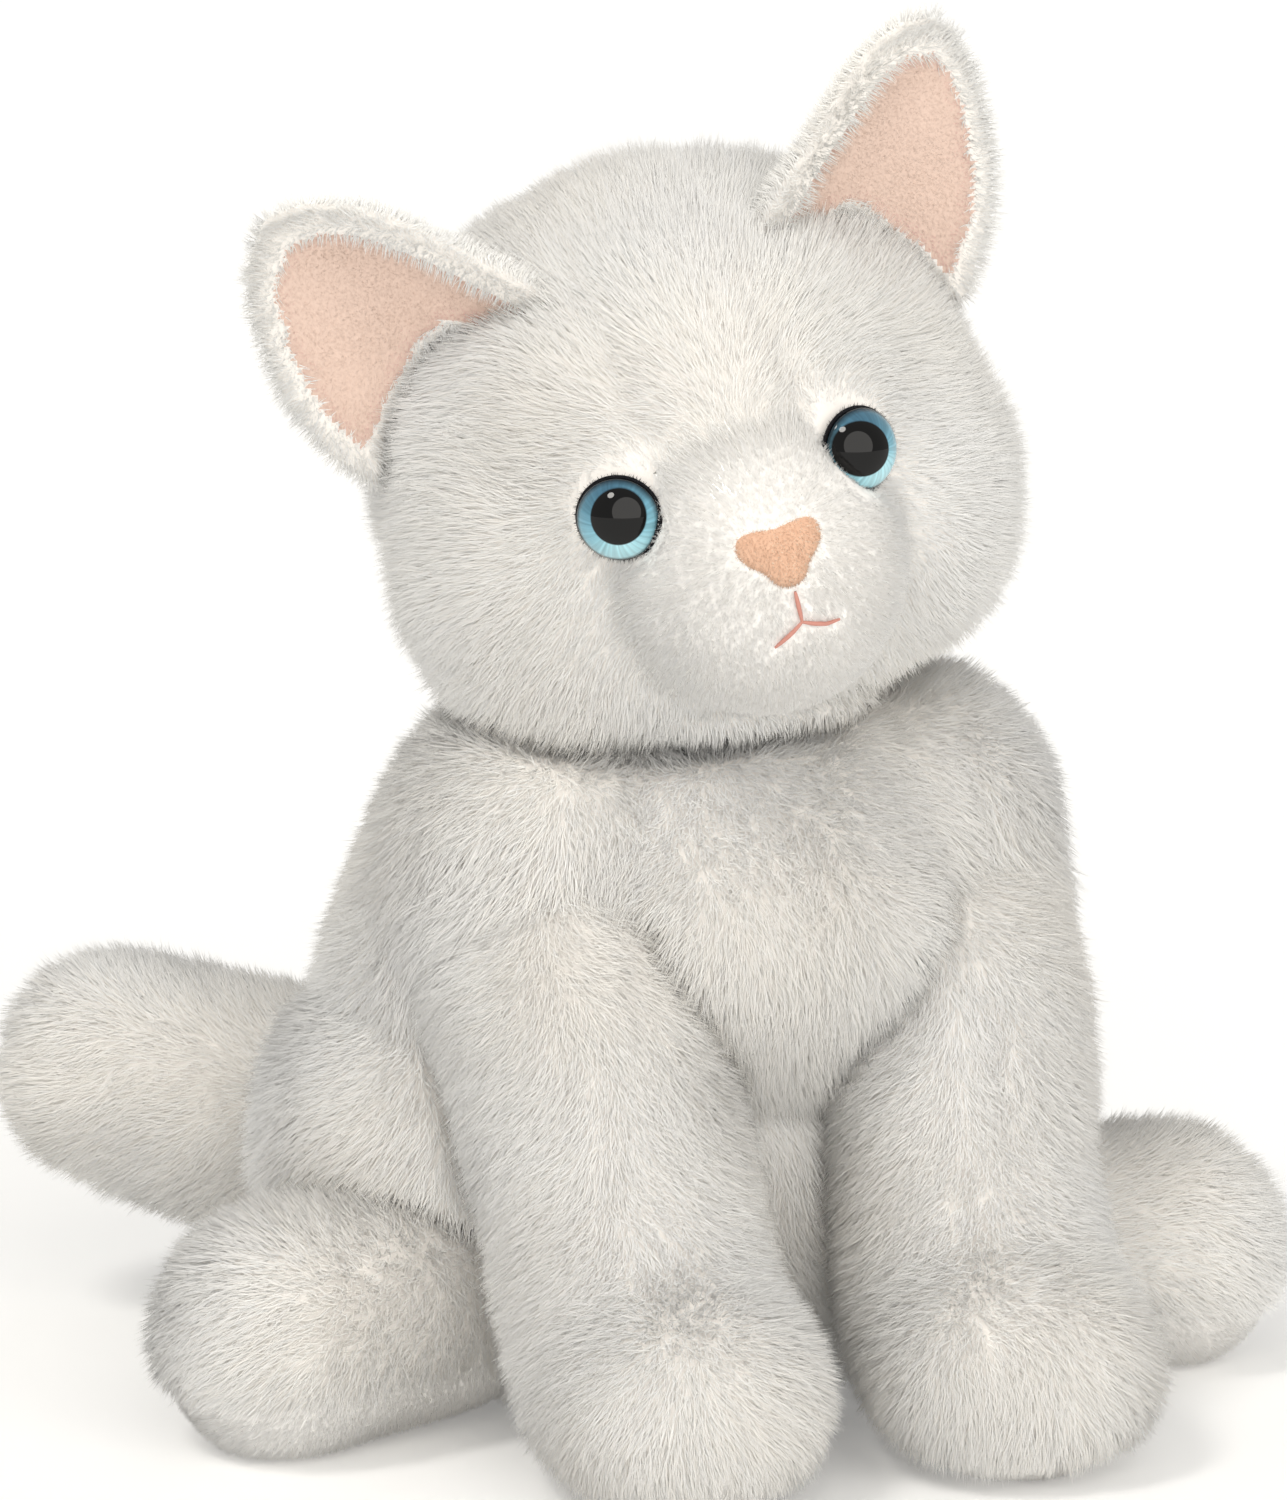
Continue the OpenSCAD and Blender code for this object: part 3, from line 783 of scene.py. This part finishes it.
def rings(reach, shares):
    """A round grid: reach is its radius at each angle, shares how far out each ring is.
    Returns x, y and the share of each point, and the grid's four-sided faces."""
    count = len(reach)
    angle = np.linspace(0, math.tau, count, endpoint=False)
    x = np.outer(shares, reach * np.cos(angle)).ravel()
    y = np.outer(shares, reach * np.sin(angle)).ravel()
    near = np.arange(len(shares) - 1)[:, None] * count + np.arange(count)[None]
    far = np.arange(len(shares) - 1)[:, None] * count + (np.arange(count)[None] + 1) % count
    quads = np.stack([near, near + count, far + count, far], axis=-1).reshape(-1, 4)
    return x, y, np.repeat(shares, count), quads


def halves(quads):
    return np.concatenate([quads[:, [0, 1, 2]], quads[:, [0, 2, 3]]])


def to_world(matrix, x, y, z):
    place = np.array(matrix)
    return np.stack([x, y, z], axis=1) @ place[:3, :3].T + place[:3, 3]


def turned(name, rows, matrix, mat, smooth=False, steps=64):
    """A part turned about its frame's Z axis from (radius, height) rows in mm."""
    angle = np.linspace(0, math.tau, steps, endpoint=False)
    r, z = np.array(rows).T * MM
    points = np.stack([np.outer(r, np.cos(angle)), np.outer(r, np.sin(angle)),
                       np.repeat(z[:, None], steps, axis=1)], axis=2).reshape(-1, 3)
    _, _, _, quads = rings(np.ones(steps), r)
    caps = [np.arange(steps)[None], (np.arange(steps)[None] + (len(r) - 1) * steps)[:, ::-1]]
    obj = make_object(name, points, [quads, *caps], [mat], smooth=smooth)
    obj.matrix_world = matrix
    return obj


def head_piece(obj, node):
    """Says that obj is the head's, and stands for the node."""
    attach(obj, "head")
    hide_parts(node)


# ---------- eyes ----------

# Sizes in mm, in the eye's own frame.
DOME_R, DOME_H, DOME_Z = 7.5, 5.0, 0.4
BALL_R = (DOME_R ** 2 + DOME_H ** 2) / (2 * DOME_H)
IRIS_R, PUPIL_R = 7.3, 5.0
FELT_R, FELT_CORNER = 7.9, 1.7
STEM_R, STEM_END = 2.4, -18
PUPIL_BLUR = 0.12
IRIS_FADE = 6.7, 7.4             # the iris darkens to its rim between these radii
TINY = 0.01                      # the radius that stands for a turned part's middle
# How far each eye's pupil stands off the middle, as the thick dome shows it from the front.
PUPIL_AT = {1: (-1.9, 1.0), -1: (0.8, 1.2)}
# The iris's tints, each with its place from the bottom, 0, to the top, 1. Bright below and dark above:
# painted light and painted shade, for the light that a clear dome gathers low in the iris.
IRIS_TINTS_WITH_PAINTED_LIGHT = [(0.0, (0.50, 0.84, 0.92)), (0.3, (0.30, 0.62, 0.74)), (0.65, (0.17, 0.40, 0.52)),
              (1.0, (0.06, 0.16, 0.24))]


def dome_rows():
    """From the middle of the top, over the rim, to the flat back."""
    edge = math.asin(DOME_R / BALL_R)
    rows = [(max(BALL_R * math.sin(edge * k / 20), TINY), DOME_Z + DOME_H - BALL_R
             + BALL_R * math.cos(edge * k / 20)) for k in range(20)]
    rim = [(DOME_R, DOME_Z + 0.2), (DOME_R - 0.05, DOME_Z + 0.05), (DOME_R - 0.2, DOME_Z)]
    return [*rows, *rim, (TINY, DOME_Z)]


def eye_paint(word, pupil_at):
    """The glossy dome's paint: a black pupil round pupil_at in a pearly iris with fine streaks. The iris
    is
    painted dark above and bright below: painted shade and painted light, as a clear dome would light it."""
    mat = principled(f"eye_paint_{word}", (0.2, 0.45, 0.55), 0.03, IOR=1.4)
    where = add_node(mat, "TexCoord").outputs["Object"]
    flat = add_node(mat, "VectorMath", where, (1, 1, 0), operation="MULTIPLY").outputs["Vector"]
    outwards = add_node(mat, "VectorMath", flat, operation="NORMALIZE").outputs["Vector"]
    radius = add_node(mat, "VectorMath", flat, operation="LENGTH").outputs["Value"]
    middle = (pupil_at[0] * MM, pupil_at[1] * MM, 0)
    from_pupil = add_node(mat, "VectorMath", flat, middle, operation="DISTANCE").outputs["Value"]
    # Painted light and shade: the iris goes from bright at the bottom to dark at the top.
    up = add_node(mat, "SeparateXYZ", outwards).outputs["Y"]
    height = add_node(mat, "MapRange", up, From_Min=-1).outputs["Result"]
    ramp = add_node(mat, "ValToRGB", height)
    elements = ramp.color_ramp.elements
    for position, tint in IRIS_TINTS_WITH_PAINTED_LIGHT[1:-1]:
        elements.new(position).color = (*tint, 1)
    for end in (0, -1):
        elements[end].color = (*IRIS_TINTS_WITH_PAINTED_LIGHT[end][1], 1)
    noise = add_node(mat, "TexNoise", outwards, Scale=9, Detail=4).outputs["Fac"]
    streaks = add_node(mat, "MapRange", noise, From_Min=0.3, From_Max=0.7, To_Min=0.62, To_Max=1.0)
    outside = add_node(mat, "MapRange", from_pupil, From_Min=(PUPIL_R - PUPIL_BLUR) * MM,
                       From_Max=(PUPIL_R + PUPIL_BLUR) * MM)
    edge = add_node(mat, "MapRange", radius, From_Min=IRIS_FADE[0] * MM,
                    From_Max=IRIS_FADE[1] * MM, To_Min=1.0, To_Max=0.1)
    bright = outside.outputs["Result"]
    for factor in (edge, streaks):
        product = add_node(mat, "Math", bright, factor.outputs["Result"], operation="MULTIPLY")
        bright = product.outputs["Value"]
    mix = add_node(mat, "Mix")
    mix.data_type = "RGBA"
    mix.blend_type = "MULTIPLY"
    mix.inputs["Factor"].default_value = 1
    mat.node_tree.links.new(ramp.outputs["Color"], mix.inputs["A"])
    mat.node_tree.links.new(bright, mix.inputs["B"])
    feed(mat, mix.outputs["Result"], "Base Color")
    return mat


BLACK = principled("eye_black", (0.003, 0.003, 0.004), 0.5, Specular_IOR_Level=0.1)
WASHER = principled("eye_washer", (0.80, 0.80, 0.78), 0.5)


def felt_reach(side):
    """The felt's radius at each angle: round, with a corner towards the nose."""
    angle = np.linspace(0, math.tau, 96, endpoint=False)
    corner = math.atan2(-0.55, -side)
    away = np.angle(np.exp(1j * (angle - corner)))
    return (FELT_R + FELT_CORNER * np.exp(-(away / 0.3) ** 2)) * MM


def black_shades(root, local):
    return np.where(local.random(len(root)) < 0.2, 2, 1)


def make_eye(word, side):
    """One locking safety eye: dome, iris, pupil, stem, washer and the felt it stands on."""
    matrix = eye_frame(side)
    name = f"eye_{word}"
    paint = eye_paint(word, PUPIL_AT[side])
    iris = [(PUPIL_R, 0), (PUPIL_R, 0.48), (IRIS_R, 0.48), (IRIS_R, 0)]
    pupil = [(TINY, 0.46), (PUPIL_R, 0.46), (PUPIL_R, 0), (TINY, 0)]
    stem = [(TINY, -0.05), (DOME_R, -0.05), (DOME_R, -1), (STEM_R, -1), (STEM_R, STEM_END),
            (TINY, STEM_END)]
    washer = [(STEM_R + 0.05, -4.0), (7, -4.0), (7, -5.4), (STEM_R + 0.05, -5.4)]
    for part, rows, mat, smooth, node, slot in [
            ("dome", dome_rows(), paint, True, "lens", "eye_lens"),
            ("paint", iris, paint, False, "iris", "eye_iris"),
            ("hole", pupil, BLACK, False, "pupil", "eye_black"),
            ("shank", stem, BLACK, False, "stem", "eye_black"),
            ("lock", washer, WASHER, False, "washer", "eye_washer")]:
        head_piece(turned(f"{name}_{part}", rows, matrix, mat, smooth), f"{name}_{node}")
    x, y, share, quads = rings(felt_reach(side), np.linspace(0.6, 1.0, 7))
    z = heights("head_form", matrix, x, y)
    thickness = 0.75 - 0.6 * np.clip((share - 0.9) / 0.1, 0, 1)      # in mm, thin at the rim
    z = np.clip(z, -0.8 * MM, 1.3 * MM) + thickness * MM
    patch = Patch(to_world(matrix, x, y, z), halves(quads))
    flow = unit(patch.points - np.array(matrix)[:3, 3])
    felt = velvet(name + "_felt", patch, [], flow, length=0.9 * MM, lean=0.8, per_mm2=9.0,
                  width=0.16 * MM, shades=black_shades, mats=FELT, seed=900 + side)
    head_piece(felt, name + "_surround")


for word, side in SIDES:
    make_eye(word, side)


# ---------- nose and mouth ----------

NOSE_FRAME = (HEAD @ Matrix.Translation((MUZZLE_AT.x, MUZZLE_AT.y - MUZZLE_R, NOSE_Z))
              @ Matrix.Rotation(math.radians(90), 4, "X"))
# Half of the nose's outline in mm from its middle, from below up the side to the dip on top.
NOSE_LOW = [(0, -6.6), (2.0, -6.1), (3.2, -4.8), (3.8, -3.4), (4.9, -2.0)]
NOSE_SIDE = [(6.5, -0.6), (7.8, 1.2), (7.9, 3.2), (7.0, 5.0), (4.8, 5.5), (2.2, 5.3)]
NOSE_DIP = (0, 5.0)
NOSE_STRETCH = np.array([1.02, 0.88])
NOSE_STEPS = 128                 # how many points go round the nose


def nose_reach():
    """The nose's radius at each angle: two lobes above, nostril notches, a round bulb below."""
    right = np.array([*NOSE_LOW, *NOSE_SIDE, NOSE_DIP])
    left = right[1:-1] * np.array([-1, 1])
    both = np.concatenate([right, left]) * NOSE_STRETCH
    turn = np.arctan2(both[:, 1], both[:, 0])
    order = np.argsort(turn)
    angle = np.linspace(0, math.tau, NOSE_STEPS, endpoint=False)
    reach = np.interp(angle, turn[order], np.hypot(*both.T)[order], period=math.tau)
    for _ in range(3):
        reach = (np.roll(reach, 1) + reach * 2 + np.roll(reach, -1)) / 4
    return reach * MM


def nose_shades(root, local):
    """Peach pile with glints, fewer of them on the nose's right lobe."""
    plain = (root - NOSE_POINT) @ np.array(HEAD)[:3, 0] < -2.5 * MM
    glints = local.random(len(root)) < np.where(plain, 0.02, 0.12)
    return np.where(glints, 4, local.integers(1, 4, len(root)))


def make_nose():
    """A raised pad of velour: highest at its lobes and its bulb, and turned down at its edge."""
    shares = np.array([0.04, 0.2, 0.4, 0.58, 0.73, 0.85, 0.93, 0.98, 1.0])
    x, y, share, quads = rings(nose_reach(), shares)
    lobe = np.exp(-((np.abs(x) - 3.5 * MM) ** 2 + (y - 2.2 * MM) ** 2) / (2.6 * MM) ** 2)
    bulb = np.exp(-(x ** 2 + (y + 3.8 * MM) ** 2) / (2.4 * MM) ** 2)
    rise = 1.1 * np.sqrt(1 - np.minimum(share, 1) ** 5) + (0.4 * lobe + 0.3 * bulb) * (share < 1)
    z = heights("head_form", NOSE_FRAME, x, y) + rise * MM - 0.2 * MM
    patch = Patch(to_world(NOSE_FRAME, x, y, z), halves(quads))
    flow = np.tile(DOWN, (len(patch.points), 1))
    pad = velvet("nose_pad", patch, [np.arange(NOSE_STEPS)[None]], flow, length=0.75 * MM, lean=0.75,
                 per_mm2=16, width=0.17 * MM, shades=nose_shades, mats=NOSE, seed=950)
    head_piece(pad, "nose_patch")


THREAD_R = 0.42 * MM
THREAD_STEPS, THREAD_SIDES = 24, 8


def thread(bends):
    """A tapering thread through (x, y) bends in mm in the nose's frame, laid on the muzzle.
    Returns its points, its faces and the line along its middle."""
    bends = np.array(bends) * MM
    t = np.linspace(0, len(bends) - 1, THREAD_STEPS)
    x = np.interp(t, np.arange(len(bends)), bends[:, 0])
    y = np.interp(t, np.arange(len(bends)), bends[:, 1])
    x[1:-1] = (x[:-2] + 2 * x[1:-1] + x[2:]) / 4
    z = heights("head_form", NOSE_FRAME, x, y) + 1.0 * MM
    path = to_world(NOSE_FRAME, x, y, z)
    out = np.array(NOSE_FRAME)[:3, 2]
    along = unit(np.gradient(path, axis=0))
    side = unit(np.cross(along, out))
    up = np.cross(side, along)
    belly = np.sin(np.linspace(0.15, math.pi - 0.15, THREAD_STEPS)) ** 0.6
    thick = THREAD_R * (0.35 + 0.65 * belly)
    angle = np.linspace(0, math.tau, THREAD_SIDES, endpoint=False)
    ring = side[:, None] * np.cos(angle)[None, :, None] + up[:, None] * np.sin(angle)[None, :, None]
    points = path[:, None] + ring * thick[:, None, None]
    _, _, _, quads = rings(np.ones(THREAD_SIDES), np.arange(THREAD_STEPS))
    return points.reshape(-1, 3), quads, path


MOUTH = [[(0, -6.6), (0, -9.5), (0, -12.8)],
         [(0, -12.6), (-1.8, -13.9), (-3.9, -15.2), (-5.6, -16.2)],
         [(0, -12.6), (1.9, -13.6), (4.4, -14.6), (7.0, -14.7)]]


def make_mouth():
    """The mouth's three stitched threads as one piece. Returns the lines along their middles."""
    points, quads, paths = [], [], []
    for bends in MOUTH:
        tube, sides, path = thread(bends)
        quads.append(sides + sum(len(p) for p in points))
        points.append(tube)
        paths.append(path)
    mat = principled("mouth_thread", (0.56, 0.25, 0.20), 0.55, Specular_IOR_Level=0.4)
    obj = make_object("mouth_thread", np.concatenate(points), quads, [mat])
    head_piece(obj, "mouth_stitches")
    return np.concatenate(paths)


make_nose()
mouth_path = make_mouth()


def round_the_nose(points, length, lean):
    """No pile grows under the nose and the mouth's thread, and it is short beside them.
    At the muzzle's rim it is longer and flatter, so that it hides the seam."""
    length, lean = short_near_eyes(points, length, lean)
    local = (points - np.array(NOSE_FRAME)[:3, 3]) @ np.array(NOSE_FRAME)[:3, :3]
    reach = nose_reach()
    angle = np.arctan2(local[:, 1], local[:, 0]) % math.tau
    edge = reach[(angle / math.tau * len(reach)).astype(int) % len(reach)]
    inside = np.hypot(local[:, 0], local[:, 1]) < edge - 0.6 * MM
    beside = distance_to(points, mouth_path)
    length = length * np.clip(beside / (3 * MM), 0.35, 1)
    rim = np.exp(-(forms["head_form"].seam / (6 * MM)) ** 2)
    length = length + 2.6 * MM * rim
    lean = lean + 0.25 * rim
    return np.where(inside | (beside < 0.8 * MM), 0, length), lean


def soft_edge(form):
    """The rim's hair leans inwards where it meets the ear's lining, so that it hides the edge."""
    share = np.clip((form.seam / MM - 1.2) / 1.2, 0, 1) * (form.seam < 3.5 * MM)

    def change(points, length, lean):
        return length * (1 - 0.3 * share), lean * (1 - share) - 0.7 * share
    return change


# ---------- where the pile grows ----------

for form in forms.values():
    form.room = clearance(form, 6 * MM)

over_chest = reach_over(forms["head_form"], ["torso_form"])


def head_change(points, length, lean):
    """Short hair by the face, long hair over the chest."""
    return over_chest(points, *short_by_the_face(points, length, lean))


for panel in forms["head_form"].panels[:-1]:
    grow(forms["head_form"], panel, LONG, head_flow, head_change, **FINE)
grow(forms["head_form"], "muzzle_panel", SHORT_PILE, muzzle_flow, round_the_nose)
over_legs = reach_over(forms["torso_form"], ["front_leg_left_form", "front_leg_right_form"])
for panel in forms["torso_form"].panels:
    finer = FINE if panel in ("chest_panel", "belly_panel") else {}
    grow(forms["torso_form"], panel, LONG, torso_flow, over_legs, **finer)
for panel in forms["tail_form"].panels:
    grow(forms["tail_form"], panel, LONG, tail_flow)
grow(forms["neck_form"], "neck_stuffing", LONG, torso_flow, length=4 * MM)
for word, side in SIDES:
    leg = f"front_leg_{word}"
    for part in ("outer", "inner"):
        grow(forms[leg + "_form"], f"{leg}_{part}", LONG, front_leg_flow, **FINE)
    grow(forms[leg + "_form"], leg + "_sole", SHORT_PILE, front_leg_flow)
    leg = f"hind_leg_{word}"
    grow(forms[leg + "_form"], leg + "_upper", LONG, hind_leg_flow)
    grow(forms[leg + "_form"], leg + "_lower", SHORT_PILE, hind_leg_flow)
    ear = f"ear_{word}"
    form = forms[ear + "_form"]
    edge = form.points[form.seam < 1 * MM]
    form.panel = np.where(form.seam < 2.6 * MM, 0, form.panel)
    grow(form, ear + "_back", LONG, ear_flow(side), soft_edge(form), length=4.2 * MM, per_mm2=5.0,
         width=0.26 * MM, clump=None)
    grow(form, ear + "_lining", VELOUR, ear_flow(side), shades=velour_shades(edge))


# ---------- stuffing, under the panels ----------

def wadding():
    """White fibre."""
    mat = principled("wadding", (0.86, 0.85, 0.82), 1.0, Specular_IOR_Level=0.1)
    mottle(mat, 400, (0.74, 0.73, 0.70), (0.90, 0.89, 0.87))
    return mat


WADDING = wadding()
FILLED = {
    "head_form": ["head_stuffing", "muzzle_stuffing"],
    "torso_form": ["torso_stuffing", "haunch_left_stuffing", "haunch_right_stuffing"],
    "tail_form": ["tail_stuffing"], "neck_form": [],
    **{f"{leg}_{word}_form": [f"{leg}_{word}_stuffing"]
       for leg in ("front_leg", "hind_leg") for word, _ in SIDES},
}
for name, form in forms.items():
    if name not in FILLED:
        form.obj.hide_render = True
        continue
    form.obj.data.materials.clear()
    form.obj.data.materials.append(WADDING)
    inset = form.points - form.normals * 0.8 * MM
    form.obj.data.vertices.foreach_set("co", inset.astype(np.float32).ravel())
    form.obj.data.update()
    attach(form.obj, form.body)
    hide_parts(*FILLED[name])


def dressed(node, body, mat):
    """A hidden part keeps its CAD shape and gets its own material."""
    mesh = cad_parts[node].data.copy()
    mesh.materials.clear()
    mesh.materials.append(mat)
    obj = bpy.data.objects.new(node + "_dressed", mesh)
    scene.collection.objects.link(obj)
    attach(obj, body)
    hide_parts(node)


COTTON = principled("pouch_cotton", (0.64, 0.57, 0.45), 0.95, Specular_IOR_Level=0.15)
weave = mottle(COTTON, 900, (0.58, 0.51, 0.40), (0.68, 0.61, 0.49))
bumped(COTTON, weave, strength=0.4, distance=0.3 * MM)
PELLET = principled("pellet_plastic", (0.84, 0.84, 0.82), 0.4)
dressed("pellet_pouch", "torso", COTTON)
dressed("pellets", "torso", PELLET)


# ---------- floor and light ----------

def make_stage():
    """A plain white floor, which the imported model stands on."""
    mesh = bpy.data.meshes.new("floor")
    bm = bmesh.new()
    bmesh.ops.create_grid(bm, x_segments=1, y_segments=1, size=6)
    bm.to_mesh(mesh)
    bm.free()
    floor = bpy.data.objects.new("floor", mesh)
    scene.collection.objects.link(floor)
    mesh.materials.append(principled("floor", (0.95, 0.95, 0.945), 0.9, Specular_IOR_Level=0.1,
                                      Emission_Color=(1, 1, 1, 1), Emission_Strength=0.14))


def far_lamp(name, azimuth, height, width, power, colour):
    """A soft lamp far off, placed by its azimuth, height and apparent width in degrees."""
    data = bpy.data.lights.new(name, "SUN")
    data.angle = math.radians(width)
    data.energy = power
    data.color = colour
    light = bpy.data.objects.new(name, data)
    azimuth, height = math.radians(azimuth), math.radians(height)
    towards = Vector((math.sin(azimuth) * math.cos(height), -math.cos(azimuth) * math.cos(height),
                      math.sin(height)))
    light.rotation_euler = towards.to_track_quat("Z", "Y").to_euler()
    scene.collection.objects.link(light)


def make_lights():
    """A broad white room, a key lamp to the upper left that the domed eyes reflect, and a wide fill."""
    world = bpy.data.worlds.new("studio")
    world.use_nodes = True
    background = world.node_tree.nodes["Background"]
    background.inputs["Color"].default_value = (1.0, 0.988, 0.962, 1)
    background.inputs["Strength"].default_value = 0.57
    scene.world = world
    far_lamp("key", azimuth=-62, height=55, width=15, power=0.85, colour=(1.0, 0.97, 0.92))
    far_lamp("fill", azimuth=-4, height=15, width=75, power=2.1, colour=(1.0, 0.968, 0.92))


make_stage()
make_lights()
scene.view_settings.view_transform = "Standard"
scene.cycles.diffuse_bounces = 10        # light goes deep into white pile
